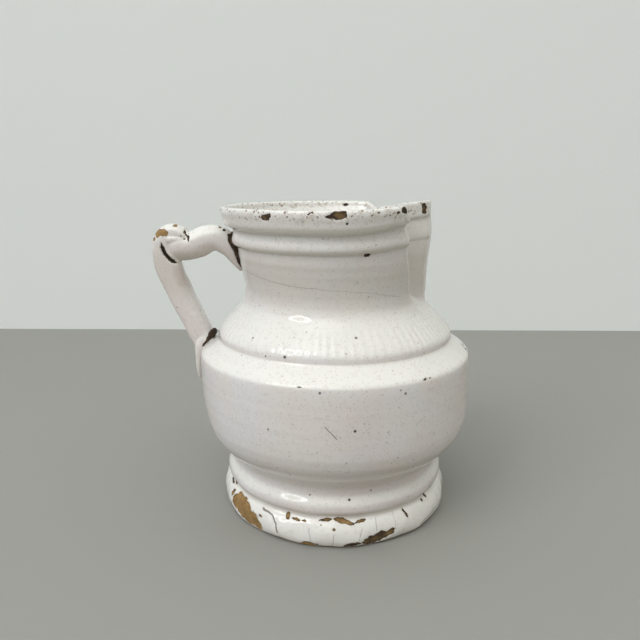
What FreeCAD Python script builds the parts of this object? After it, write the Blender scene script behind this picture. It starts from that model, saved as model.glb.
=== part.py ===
import FreeCAD, Part
import math
import os

# Tin-glazed earthenware pitcher.  Millimetres, +Z up.
# Origin: on the axis of the vessel, in the plane it stands on.
# The handle is on the -X side and the pinched spout on the +X side.

# Overall sizes
height = 205.0
belly_radius = 92.2
foot_radius = 79.3
rim_radius = 75.8
neck_radius = 60.5

# Levels on the outside, from the standing face up
foot_groove_z = 19.0
bead_z = 26.0
waist_z = 36.0
belly_low_z = 57.0
belly_top_z = 108.0
step_z = 119.0
neck_z = 150.0
ring_z = 181.0
band_z = 193.0

# Radii on the outside
foot_groove_radius = 74.3
bead_radius = 76.2
waist_radius = 72.2
shoulder_radius = 80.2
step_depth = 1.2
ring_radius = 68.3

# Walls and coats
base_thickness = 7.0
belly_wall = 6.8
shoulder_wall = 7.6
neck_wall = 5.8
ledge = 0.8
glaze = 0.5
slip = 0.5
bare_foot = 1.5

# Spout, in plan: two finger creases and a nose between them,
# turned a little off the X axis
spout_turn = 5.5
pinch_angle = 63.0
pinch_low_angle = 43.0
crease_x = 40.0
crease_y = 27.0
crease_low_x = 46.0
crease_low_y = 22.0
nose_x = 64.9
nose_low_x = 63.5
nose_y = 15.2
nose_bead = 1.6
spout_relief = 0.5
pinch_low_z = 132.0
pinch_full_z = 150.0

# Handle: one coil of clay, thicker towards the fold
coil_radius = 7.3
fold_x = -111.5
fold_z = 181.5
fold_radius = 11.5
arm_radius = 9.2
tail_length = 24.0
tail_width = 6.4
tail_thickness = 4.2


def vec(r, z):
    return FreeCAD.Vector(r, 0, z)


def curve(poles):
    c = Part.BSplineCurve()
    c.buildFromPoles([vec(r, z) for r, z in poles], False, 2)
    return c


def shifted(poles, t):
    """The control polygon moved by t along its own outward normals."""
    out = []
    last = len(poles) - 1
    for i, (r, z) in enumerate(poles):
        r0, z0 = poles[max(i - 1, 0)]
        r1, z1 = poles[min(i + 1, last)]
        length = math.hypot(r1 - r0, z1 - z0)
        out.append((r + t * (z1 - z0) / length, z - t * (r1 - r0) / length))
    out[0] = (out[0][0], poles[0][1])
    out[last] = (out[last][0], poles[last][1] + t)
    return out


def lower_outline():
    """Foot band, groove, bead, waist, belly and the first shoulder band."""
    return [
        (foot_radius - 3.2, 0.0),
        (foot_radius - 2.2, 0.6),
        (foot_radius, 6.0),
        (foot_radius - 0.7, 11.5),
        (foot_radius - 3.3, foot_groove_z - 2.5),
        (foot_groove_radius, foot_groove_z - 0.8),
        (foot_groove_radius, foot_groove_z + 1.5),
        (bead_radius, bead_z - 2.2),
        (bead_radius, bead_z + 2.5),
        (waist_radius + 0.9, bead_z + 5.5),
        (waist_radius, waist_z),
        (waist_radius + 1.5, waist_z + 3.5),
        (belly_radius - 11.0, belly_low_z - 10.0),
        (belly_radius - 2.5, belly_low_z),
        (belly_radius, belly_low_z + 18.0),
        (belly_radius, belly_top_z - 12.0),
        (belly_radius - 0.6, belly_top_z),
        (belly_radius - 6.0, belly_top_z + 5.2),
        (shoulder_radius, step_z),
    ]


def upper_outline():
    """Second shoulder band, neck, neck ring, rim band."""
    r = shoulder_radius - step_depth
    return [
        (r, step_z),
        (r + 0.1, step_z + 4.6),
        (neck_radius + 8.8, neck_z - 16.0),
        (neck_radius + 1.9, neck_z - 7.5),
        (neck_radius, neck_z),
        (neck_radius + 1.5, neck_z + 13.0),
        (ring_radius - 4.0, ring_z - 7.0),
        (ring_radius - 3.4, ring_z - 2.6),
        (ring_radius - 0.8, ring_z),
        (ring_radius, ring_z + 3.6),
        (ring_radius - 0.8, band_z - 4.0),
        (rim_radius - 6.4, band_z - 1.4),
        (rim_radius - 3.6, band_z + 0.6),
        (rim_radius - 1.2, band_z + 5.0),
        (rim_radius, height + 4.0),
    ]


def inner_lower_outline():
    floor = base_thickness + glaze
    return [
        (0.0, floor),
        (foot_radius - 30.0, floor),
        (foot_radius - 15.5, floor + 1.2),
        (waist_radius - 6.4, floor + 10.0),
        (waist_radius - 6.0, waist_z - 5.0),
        (waist_radius - 5.2, waist_z + 4.0),
        (belly_radius - 17.6, belly_low_z - 7.0),
        (belly_radius - belly_wall - 2.8, belly_low_z + 2.0),
        (belly_radius - belly_wall, belly_low_z + 17.0),
        (belly_radius - belly_wall, belly_top_z - 13.0),
        (belly_radius - belly_wall - 1.2, belly_top_z - 2.0),
        (belly_radius - belly_wall - 7.2, belly_top_z + 5.0),
        (shoulder_radius - shoulder_wall, step_z + 2.0),
    ]


def inner_upper_outline():
    r = shoulder_radius - shoulder_wall - ledge
    return [
        (r, step_z + 2.0),
        (r - 0.6, step_z + 5.0),
        (neck_radius + 1.0, neck_z - 16.5),
        (neck_radius - neck_wall + 0.8, neck_z - 8.0),
        (neck_radius - neck_wall, neck_z),
        (neck_radius - neck_wall + 1.2, neck_z + 13.0),
        (ring_radius - neck_wall - 4.4, ring_z - 7.0),
        (ring_radius - neck_wall - 2.6, ring_z + 2.0),
        (ring_radius - neck_wall, band_z - 3.0),
        (rim_radius - neck_wall - 3.4, band_z + 3.0),
        (rim_radius - neck_wall - 0.4, height - 4.0),
        (rim_radius - neck_wall, height + 6.0),
    ]


def radius_at(c, z):
    lo = c.FirstParameter
    hi = c.LastParameter
    for _ in range(50):
        mid = (lo + hi) / 2
        if c.value(mid).z < z:
            lo = mid
        else:
            hi = mid
    return c.value(lo).x


def turned(poles):
    """Solid of revolution between the outline and the axis."""
    c = curve(poles)
    first = poles[0]
    last = poles[-1]
    edges = []
    if first[0] > 0:
        edges.append(Part.makeLine(vec(0, first[1]), vec(*first)))
    edges.append(c.toShape())
    edges.append(Part.makeLine(vec(*last), vec(0, last[1])))
    edges.append(Part.makeLine(vec(0, last[1]), vec(0, first[1])))
    face = Part.Face(Part.Wire(edges))
    return face.revolve(FreeCAD.Vector(0, 0, 0), FreeCAD.Vector(0, 0, 1), 360)


def blend(a, b, k):
    return (a[0] + (b[0] - a[0]) * k, a[1] + (b[1] - a[1]) * k)


def polar(r, degrees):
    a = math.radians(degrees)
    return (r * math.cos(a), r * math.sin(a))


def pinch(z):
    t = min(max((z - pinch_low_z) / (pinch_full_z - pinch_low_z), 0.0), 1.0)
    return t * t * (3 - 2 * t)


def plan_half(radius, z):
    """One half of the outside in plan, from the nose round to the handle side."""
    k = pinch(z)
    up = (z - neck_z) / (height - neck_z)
    corner = pinch_low_angle + (pinch_angle - pinch_low_angle) * up
    crease = blend((crease_low_x, crease_low_y), (crease_x, crease_y), up)
    nose = nose_low_x + (nose_x - nose_low_x) * up
    nose += nose_bead * math.exp(-(((z - ring_z - 1.0) / 9.0) ** 2))
    flare = neck_radius + (rim_radius - neck_radius) * max(up, 0.0) ** 1.5
    proud = spout_relief * (radius - flare)
    start = polar(radius, corner)
    flank_out = blend(start, crease, 0.30)
    flank_in = blend(start, crease, 0.66)
    pinched = [
        (nose, 0.0),
        (nose - 1.6, nose_y * 0.5),
        (nose - 6.0 + proud, nose_y),
        (crease[0] + proud, crease[1]),
        (flank_in[0] - 1.2 + proud, flank_in[1]),
        (flank_out[0] - 0.5, flank_out[1]),
    ]
    shares = [0.0, 0.12, 0.25, 0.46, 0.64, 0.83]
    points = [blend(polar(radius, corner * s), p, k) for s, p in zip(shares, pinched)]
    steps = 11
    for i in range(steps):
        a = corner + (180.0 - corner) * i / steps
        points.append(polar(radius, a))
    return points


def plan(radius, z, inset):
    """Closed section of the wall at one level, moved inwards by inset."""
    half = plan_half(radius, z)
    back = [(-radius, 0.0)]
    mirrored = [(x, -y) for x, y in half[1:]]
    points = back + list(reversed(half)) + mirrored
    n = len(points)
    turn = math.radians(spout_turn)
    moved = []
    for i, (x, y) in enumerate(points):
        xa, ya = points[(i - 1) % n]
        xb, yb = points[(i + 1) % n]
        length = math.hypot(xb - xa, yb - ya)
        x += inset * (yb - ya) / length
        y -= inset * (xb - xa) / length
        moved.append((x * math.cos(turn) - y * math.sin(turn), x * math.sin(turn) + y * math.cos(turn)))
    c = Part.BSplineCurve()
    c.interpolate([FreeCAD.Vector(x, y, z) for x, y in moved], True)
    return Part.Wire(c.toShape())


def levels(bottom, top):
    shoulder = [bottom, bottom + 4.5, neck_z - 22.0, neck_z - 17.0, neck_z - 12.0]
    neck = [neck_z - 7.0, neck_z - 2.0, neck_z + 4.0, neck_z + 11.0, neck_z + 18.0]
    ring = [ring_z - 7.0, ring_z - 3.0, ring_z - 1.4, ring_z + 0.2, ring_z + 3.5]
    band = [band_z - 5.0, band_z - 2.4, band_z - 0.6, band_z + 1.2, band_z + 4.0]
    return shoulder + neck + ring + band + [top - 4.5]


def lofted_outside(t):
    top = height + min(t, 0.0)
    c = curve(upper_outline())
    wires = [plan(radius_at(c, z), z, -t) for z in levels(step_z + t, top)]
    rim = radius_at(c, top)
    wires.append(plan(rim, top - 2.0, -t + 0.2))
    wires.append(plan(rim, top - 0.7, -t + 0.9))
    wires.append(plan(rim, top, -t + 2.2))
    return Part.makeLoft(wires, True, False)


def lofted_inside(t):
    outer = curve(upper_outline())
    inner = curve(inner_upper_outline())
    wires = []
    for z in levels(step_z + 2.0 + t, height):
        r = radius_at(outer, z)
        wires.append(plan(r, z, r - radius_at(inner, z) - t))
    rim = radius_at(outer, height)
    wall = rim - radius_at(inner, height)
    wires.append(plan(rim, height - 1.8, wall - t - 0.2))
    wires.append(plan(rim, height, wall - t - 1.4))
    wires.append(plan(rim, height + 2.0, wall - t - 1.6))
    return Part.makeLoft(wires, True, False)


def outside(t):
    """Solid inside the glazed surface moved outwards by t."""
    return turned(shifted(lower_outline(), t)).fuse(lofted_outside(t))


def inside(t):
    """Cavity inside the glazed surface, widened by t."""
    poles = shifted(inner_lower_outline(), t)
    poles[0] = (0.0, poles[0][1] - t)
    return turned(poles).fuse(lofted_inside(t))


def ring_at(x, z, dx, dz, radius):
    centre = vec(x, z)
    axis = FreeCAD.Vector(dx, 0, dz)
    return Part.Wire(Part.makeCircle(radius, centre, axis))


def coil(stations, grow):
    """Round coil through stations of (x, z, radius)."""
    wires = []
    last = len(stations) - 1
    for i, (x, z, r) in enumerate(stations):
        xa, za, ra = stations[max(i - 1, 0)]
        xb, zb, rb = stations[min(i + 1, last)]
        length = math.hypot(xb - xa, zb - za)
        dx = (xb - xa) / length
        dz = (zb - za) / length
        reach = grow * ((i == last) - (i == 0))
        wires.append(ring_at(x + reach * dx, z + reach * dz, dx, dz, r + grow))
    return Part.makeLoft(wires, True, False)


def tail(grow):
    """Flattened end of the coil, pressed down on to the belly."""
    wires = []
    for i, share in enumerate([1.0, 0.85, 0.6, 0.3]):
        z = step_z - 7.0 - tail_length * i / 3.0 + grow * ((i == 0) - (i == 3))
        ellipse = Part.Ellipse()
        ellipse.Center = FreeCAD.Vector(0, 0, 0)
        ellipse.MajorRadius = tail_width * (0.4 + 0.6 * share) + grow
        ellipse.MinorRadius = tail_thickness * share + grow
        shape = ellipse.toShape()
        shape.rotate(FreeCAD.Vector(0, 0, 0), FreeCAD.Vector(0, 0, 1), 90)
        shape.translate(FreeCAD.Vector(-belly_radius - 0.4 + 0.5 * i * i / 3.0, 0, z))
        wires.append(Part.Wire(shape))
    return Part.makeLoft(wires, True, False)


def handle(grow):
    body_x = -belly_radius
    rod = [
        (body_x + 8.0, step_z - 15.0, coil_radius - 0.3),
        (body_x + 1.2, step_z - 2.5, coil_radius),
        (body_x - 4.6, step_z + 8.6, coil_radius),
        (fold_x + 7.9, fold_z - 39.5, coil_radius + 0.3),
        (fold_x + 2.3, fold_z - 27.5, coil_radius + 1.0),
        (fold_x - 1.5, fold_z - 15.5, coil_radius + 1.7),
        (fold_x - 0.6, fold_z - 2.0, coil_radius + 2.2),
    ]
    arm = [
        (fold_x + 1.0, fold_z + 0.5, arm_radius - 0.4),
        (fold_x + 13.5, fold_z - 3.2, arm_radius - 0.2),
        (-ring_radius - 18.7, ring_z + 1.0, arm_radius),
        (-ring_radius - 9.2, ring_z + 1.6, arm_radius - 0.8),
        (-ring_radius - 0.6, ring_z - 4.5, arm_radius - 3.0),
        (-neck_radius - 4.6, ring_z - 12.5, arm_radius - 5.2),
        (-neck_radius - 2.8, ring_z - 19.5, arm_radius - 7.0),
    ]
    fold = Part.makeSphere(fold_radius + grow, vec(fold_x, fold_z))
    return coil(rod, grow).fuse([fold, coil(arm, grow), tail(grow)])


def one(shape, name):
    solids = shape.Solids
    print(name, len(solids), "solid(s), volume", round(shape.Volume, 1), "valid", shape.isValid())
    return solids[0] if len(solids) == 1 else shape


glazed = outside(0.0)
clay = outside(-glaze)
joint_face = outside(slip)
room = inside(0.0)
clay_room = inside(glaze)
coil_full = handle(0.0)
coil_glazed = handle(glaze)

clay_body = clay.cut(clay_room)
handle_coil = coil_full.cut(joint_face)
pads = coil_full.common(joint_face).cut(clay)
upper_pad = [s for s in pads.Solids if s.CenterOfMass.z > neck_z]
lower_pad = [s for s in pads.Solids if s.CenterOfMass.z < neck_z]

above_foot = Part.makeCylinder(2 * belly_radius, 2 * height, vec(0, bare_foot))
below_rim = Part.makeCylinder(2 * belly_radius, height)
body_coat = glazed.cut(clay).cut(clay_room).cut(coil_full)
outside_glaze = body_coat.common(above_foot)
inside_glaze = clay_room.cut(room).common(below_rim)
coil_coat = coil_glazed.cut(coil_full).cut(glazed)
handle_glaze = max(coil_coat.Solids, key=lambda solid: solid.Volume)

parts = {
    "clay_body": clay_body,
    "handle_coil": handle_coil,
    "upper_joint_slip": Part.makeCompound(upper_pad),
    "lower_joint_slip": Part.makeCompound(lower_pad),
    "outside_glaze": outside_glaze,
    "inside_glaze": inside_glaze,
    "handle_glaze": handle_glaze,
}

os.makedirs("parts", exist_ok=True)
for name, shape in parts.items():
    one(shape, name).exportStep("parts/" + name + ".step")
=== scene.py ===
# %% [markdown]
# # A white tin-glazed pitcher
# The object is a household pitcher of ochre earthenware under an opaque white tin glaze.
# It was thrown on a wheel, so most of it is a body of revolution, and three things break that
# rule: a spout pinched in with two fingers, a handle folded from one coil of clay, and a long
# life that chipped, pitted and cracked the glaze. The lesson makes each of those in turn.

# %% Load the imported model
import bmesh
import bpy
import math
import numpy as np
from mathutils import Matrix, Vector


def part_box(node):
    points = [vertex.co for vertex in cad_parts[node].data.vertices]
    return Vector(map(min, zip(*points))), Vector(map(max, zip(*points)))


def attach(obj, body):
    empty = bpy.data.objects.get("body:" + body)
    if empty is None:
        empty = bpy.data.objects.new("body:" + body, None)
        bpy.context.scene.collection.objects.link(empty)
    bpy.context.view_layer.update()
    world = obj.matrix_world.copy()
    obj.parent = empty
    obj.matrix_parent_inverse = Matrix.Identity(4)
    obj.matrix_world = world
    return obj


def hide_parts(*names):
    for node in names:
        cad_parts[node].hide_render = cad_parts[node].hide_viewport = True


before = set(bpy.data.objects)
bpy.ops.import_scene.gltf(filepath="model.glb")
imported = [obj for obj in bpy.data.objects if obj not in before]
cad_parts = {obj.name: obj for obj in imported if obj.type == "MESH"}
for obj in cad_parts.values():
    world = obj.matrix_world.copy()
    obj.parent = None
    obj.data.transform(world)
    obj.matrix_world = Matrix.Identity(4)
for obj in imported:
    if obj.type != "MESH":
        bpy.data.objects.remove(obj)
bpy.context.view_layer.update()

# %% [markdown]
# ## Sizes first
# Every later cell thinks in millimetres, because potters do, and one factor turns them into
# Blender's metres. The vessel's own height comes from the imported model, so that the
# looks can't drift away from the part that is stored.

# %% Millimetres and the seeded dice
MM = 0.001
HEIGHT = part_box("outside_glaze")[1].z / MM
dice = np.random.default_rng(7)
print("height of the glazed pitcher", round(HEIGHT, 2), "mm")


def smoothstep(x, low, high):
    t = np.clip((x - low) / (high - low), 0.0, 1.0)
    return t * t * (3 - 2 * t)


# %% [markdown]
# ## Camera
# The pitcher is seen from a little above, from quite near, so its rings open out downwards and
# the foot looks small. A 33.75 mm lens about 40 cm away gives that. The camera comes first,
# because every later look is judged through it.

# %% Camera
camera_data = bpy.data.cameras.new("near_view")
camera_data.lens = 33.75
camera_data.sensor_width = 36.0
camera_data.clip_start = 0.01
camera = bpy.data.objects.new("near_view", camera_data)
bpy.context.collection.objects.link(camera)
tilt, pan, roll = math.radians(76.6), math.radians(1.42), math.radians(-0.16)
turn = Matrix.Rotation(pan, 4, "Z") @ Matrix.Rotation(tilt, 4, "X") @ Matrix.Rotation(roll, 4, "Z")
camera.matrix_world = Matrix.Translation((0.0, -405.5 * MM, 223.1 * MM)) @ turn
bpy.context.scene.camera = camera
print("camera at", [round(v, 4) for v in camera.matrix_world.translation])

# %% [markdown]
# ## Turned outlines
# A potter's profile is a run of soft curves with a few crisp edges where a rib or a fingernail
# was held against the spinning clay. It could be drawn with a Bezier curve and spun with the
# Screw modifier. Here it is a quadratic spline sampled with NumPy, because the pinched
# spout, the chips and the wobble all need to know where every single point sits.

# %% A quadratic spline, and points spread evenly along it


def spline(poles, per_span=12):
    poles = np.asarray(poles, float)
    last = len(poles) - 1
    t = np.linspace(0, 1, per_span, endpoint=False)[:, None]
    runs = []
    for i in range(1, last):
        start = poles[0] if i == 1 else (poles[i - 1] + poles[i]) / 2
        end = poles[last] if i == last - 1 else (poles[i] + poles[i + 1]) / 2
        runs.append((1 - t) ** 2 * start + 2 * t * (1 - t) * poles[i] + t * t * end)
    return np.vstack(runs + [poles[-1:]])


def spread(points, count):
    """The same line with count points, closer together where it bends."""
    step = np.diff(points, axis=0)
    length = np.linalg.norm(step, axis=1)
    heading = np.unwrap(np.arctan2(step[:, 1], step[:, 0]))
    bend = np.abs(np.gradient(heading))
    weight = length + 1.6 * bend
    along = np.concatenate([[0], np.cumsum(weight)])
    wanted = np.linspace(0, along[-1], count)
    return np.stack([np.interp(wanted, along, points[:, k]) for k in range(points.shape[1])], 1)


# %% The outside, from the bare foot to the rim
outside_poles = [
    (76.4, 1.0), (77.6, 1.4), (79.1, 4.5), (79.5, 8.5), (78.7, 12.5), (76.7, 15.8), (74.8, 17.4),
    (74.0, 18.9), (74.2, 20.6), (75.6, 22.0), (76.6, 24.5), (76.1, 28.0), (74.0, 30.4),
    (72.5, 32.6), (72.1, 36.0), (73.3, 39.4), (76.9, 43.2), (82.4, 48.0), (87.7, 54.5),
    (90.9, 63.0), (92.0, 76.0), (92.3, 96.0), (92.1, 104.5), (91.7, 108.9), (89.4, 111.0),
    (85.4, 113.6), (80.8, 117.4), (79.8, 118.4), (79.2, 119.3), (79.4, 121.4), (78.4, 124.6),
    (70.6, 132.8), (65.0, 138.6), (61.7, 144.5), (60.5, 150.5), (61.0, 157.0), (62.6, 165.0),
    (64.1, 172.0), (64.6, 177.2), (64.9, 179.6), (66.8, 180.4), (68.2, 181.2), (68.6, 183.8),
    (67.8, 187.0), (67.3, 189.6), (68.2, 191.4), (70.6, 192.3), (72.9, 193.2), (74.0, 195.6),
    (74.8, 199.0), (75.5, 202.0),
]
lip_poles = [(75.5, 202.0), (75.5, 204.3), (74.4, 205.1), (72.9, 205.3), (71.3, 204.7), (70.3, 203.2),
    (69.9, 201.0)]
inside_poles = [
    (69.9, 201.0), (69.2, 198.0), (66.5, 192.5), (62.6, 186.5), (59.4, 180.0), (57.6, 173.0),
    (55.7, 163.0), (54.6, 150.0), (55.6, 143.0), (61.5, 134.0), (70.4, 125.0), (73.2, 119.5),
    (78.0, 113.0), (84.0, 106.5), (85.2, 95.0), (85.0, 75.0), (81.8, 60.5), (74.0, 50.5),
    (68.4, 42.0), (66.6, 31.0), (65.8, 18.0), (61.5, 10.8), (52.0, 8.2), (30.0, 7.7), (0.0, 7.5),
]
outside_line = spline(outside_poles)
lip_line = spline(lip_poles)
inside_line = spline(inside_poles)
print("outline points", len(outside_line), len(lip_line), len(inside_line))

# %% [markdown]
# ## The pinched spout
# With the clay still soft, the potter pressed two fingers into the neck and drew the lip
# between them forward. Seen from above, the round plan gets two creases with a narrow nose
# between. A lattice or sculpting could do it. Here the plan itself is described:
# where the crease, the flank and the nose are at each height, blended back into the circle
# lower down the neck, so the dent has real depth inside and out.

# %% Plan of the neck at every height
SPOUT_TURN = math.radians(5.5)
NECK_Z, NECK_RADIUS, RIM_RADIUS, RING_Z = 150.0, 60.5, 75.8, 182.0
station_share = np.array([0.0, 0.12, 0.25, 0.46, 0.64, 0.83, 1.0])


def smooth_round(values, sigma):
    """Gaussian smoothing along the columns of a closed ring, sigma in columns."""
    n = values.shape[-1]
    lag = np.minimum(np.arange(n), n - np.arange(n))
    kernel = np.exp(-0.5 * (lag / sigma) ** 2)
    kernel /= kernel.sum()
    return np.real(np.fft.ifft(np.fft.fft(values, axis=-1) * np.fft.fft(kernel), axis=-1))


def plan(radius, z, inset, columns):
    """x and y in mm for rings of given radius and height, moved inwards by inset."""
    turn_angle = np.linspace(0, 360, columns, endpoint=False)
    folded = np.minimum(turn_angle, 360 - turn_angle)
    side = np.where(turn_angle <= 180, 1.0, -1.0)
    radians = np.radians(turn_angle)
    round_x = radius[:, None] * np.cos(radians)
    round_y = radius[:, None] * np.sin(radians)
    up = np.clip((z - NECK_Z) / (HEIGHT - NECK_Z), -0.5, 1.0)
    corner = 43.0 + 20.0 * up
    crease = np.stack([46.0 - 6.0 * up, 22.0 + 5.0 * up], 1)
    nose_x = 63.5 + 1.4 * up + 1.6 * np.exp(-(((z - RING_Z) / 9.0) ** 2))
    flare = NECK_RADIUS + (RIM_RADIUS - NECK_RADIUS) * np.maximum(up, 0) ** 1.5
    proud = 0.55 * (radius - flare)
    zero = np.zeros_like(z)
    start = np.stack([radius * np.cos(np.radians(corner)), radius * np.sin(np.radians(corner))], 1)
    far = start + (crease - start) * 0.30 + [-0.5, 0.0]
    near = start + (crease - start) * 0.66 + np.stack([proud - 1.2, zero], 1)
    nose = np.stack([nose_x, zero], 1)
    nose_side = np.stack([nose_x - 1.6, zero + 7.6], 1)
    nose_flank = np.stack([nose_x - 6.0 + proud, zero + 15.2], 1)
    stations = np.stack([nose, nose_side, nose_flank, crease + np.stack([proud, zero], 1), near, far,
        start], 1)
    reach = np.clip(folded[None, :] / corner[:, None], 0, 1)
    share = np.stack([np.interp(reach, station_share, row) for row in np.eye(len(station_share))], 1)
    inside_pinch = reach < 1
    pinched_x = np.einsum("rs,rsc->rc", stations[:, :, 0], share)
    pinched_y = np.einsum("rs,rsc->rc", stations[:, :, 1], share) * side
    shift_x = smooth_round(np.where(inside_pinch, pinched_x - round_x, 0.0), columns * 1.8 / 360)
    shift_y = smooth_round(np.where(inside_pinch, pinched_y - round_y, 0.0), columns * 1.8 / 360)
    grip = smoothstep(z, 132.0, 150.0)[:, None]
    x = round_x + grip * shift_x
    y = round_y + grip * shift_y
    along_x = np.roll(x, -1, 1) - np.roll(x, 1, 1)
    along_y = np.roll(y, -1, 1) - np.roll(y, 1, 1)
    length = np.maximum(np.hypot(along_x, along_y), 1e-9)
    x = x - inset[:, None] * along_y / length
    y = y + inset[:, None] * along_x / length
    turned_x = x * math.cos(SPOUT_TURN) - y * math.sin(SPOUT_TURN)
    turned_y = x * math.sin(SPOUT_TURN) + y * math.cos(SPOUT_TURN)
    return turned_x, turned_y, radians + SPOUT_TURN


# %% [markdown]
# ## Hand-made irregularity
# A thrown pot is never a perfect lathe shape. It leans, sags a little on one side, and keeps
# faint rings from the fingers. A few slow waves round and up the wall, each well under a
# millimetre, are enough for the reflections to stop looking machined. The rim also rises
# towards the spout, because the pull that made the nose lifted the clay.

# %% Waves, sag and the lifted lip
phases = dice.uniform(0, 2 * math.pi, 24)


def hand_waves(angle, z):
    """Radial error in mm."""
    ring = 0.34 * np.sin(2 * angle + phases[0] + z / 90) + 0.20 * np.sin(3 * angle + phases[1] - z / 60)
    ring += 0.10 * np.sin(5 * angle + phases[2] + z / 31) + 0.06 * np.sin(9 * angle + phases[3] - z / 17)
    fingers = 0.055 * np.sin(2 * math.pi * z / 5.7 + 0.8 * np.sin(angle + phases[4]))
    fingers += 0.045 * np.sin(2 * math.pi * z / 9.1 + 1.3 * np.sin(2 * angle + phases[5]))
    sag = 1.1 * np.cos(angle) * np.exp(-((z - 63) / 15) ** 2)
    lumps = 0.30 * np.sin(7 * angle + phases[6]) + 0.22 * np.sin(12 * angle + phases[7] + z / 4)
    lumps += 0.15 * np.sin(19 * angle + phases[8] - z / 3)
    folds = 0.22 * np.abs(np.sin(16 * angle + 1.5 * np.sin(5 * angle + phases[10]) + z / 9)) ** 0.6
    folds += 0.12 * np.abs(np.sin(27 * angle + phases[11] - z / 6)) ** 0.7 - 0.2
    return ring + fingers * smoothstep(z, 30, 60) + sag + lumps * (1 - smoothstep(z, 14,
        34)) + folds * (1 - smoothstep(z, 15, 19))


def hump(degrees, middle, width):
    return np.exp(-((degrees - middle) / width) ** 2)


def lip_lift(angle, z):
    """How far the pulled nose dragged the clay up, and the thumb behind it pushed the lip down, in mm."""
    off_axis = np.degrees(np.angle(np.exp(1j * (angle - SPOUT_TURN))))
    pulled = 6.0 * hump(off_axis, -8, 24) + 4.6 * hump(off_axis, -54, 21)
    pulled = pulled * smoothstep(z, 166, 190) * (1 - 0.5 * smoothstep(z, 193, 204))
    return pulled - 3.8 * hump(off_axis, 39, 17) * smoothstep(z, 184, 205)


def tool_marks(angle, z):
    """Short strokes of a comb that ran round the upper shoulder, deepest below the spout."""
    band = smoothstep(z, 121.0, 123.5) * (1 - smoothstep(z, 131.0, 138.5 + 1.5 * np.sin(17 * angle)))
    strength = 0.55 + 0.45 * smoothstep(np.cos(angle + 0.4), -0.1, 0.8)
    uneven = 0.7 + 0.3 * np.sin(23 * angle + phases[12]) * np.sin(9 * angle + phases[13])
    stroke = np.sin(92 * angle + 2.2 * np.sin(5 * angle + phases[9]) + z / 11)
    return 0.34 * band * strength * uneven * np.clip(stroke, -0.45, 0.9)


def vessel_grid(line, columns, inset=None):
    """Points in mm of a wall that follows line, as an array of rows, columns, xyz."""
    radius, z = line[:, 0], line[:, 1]
    if inset is None:
        inset = np.zeros(len(line))
    x, y, angle = plan(radius, z, inset, columns)
    turned = np.maximum(np.hypot(x, y), 1e-6)
    wave = hand_waves(angle[None, :], z[:, None])
    x = x * (1 + wave / turned)
    y = y * (1 + wave / turned)
    lifted = z[:, None] + lip_lift(angle[None, :], z[:, None])
    return np.stack([x, y, lifted], 2), angle


probe = vessel_grid(spread(outside_line, 60), 90)[0]
print("widest radius in mm", round(float(np.hypot(probe[..., 0], probe[..., 1]).max()), 2))

# %% [markdown]
# ## Chips, pits and where they are
# Tin glaze is a thin skin of brittle glass on soft clay. Where the foot, the rim and the
# handle were knocked, it broke away in shells and the ochre clay shows, dark with old dirt in
# the oldest chips. A Boolean per chip would tear the mesh. Instead each wall point stores how
# far it is inside the nearest chip, in millimetres. The mesh is pressed in by that
# number, and the glaze material reads the same number to know where glaze ends.
#
# Each chip is (bearing, height, half width, half height, slant, depth, age). The
# bearing is in degrees round from the camera's side towards the spout, and age 0 is clean ochre, 1
# is black-brown.

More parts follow.
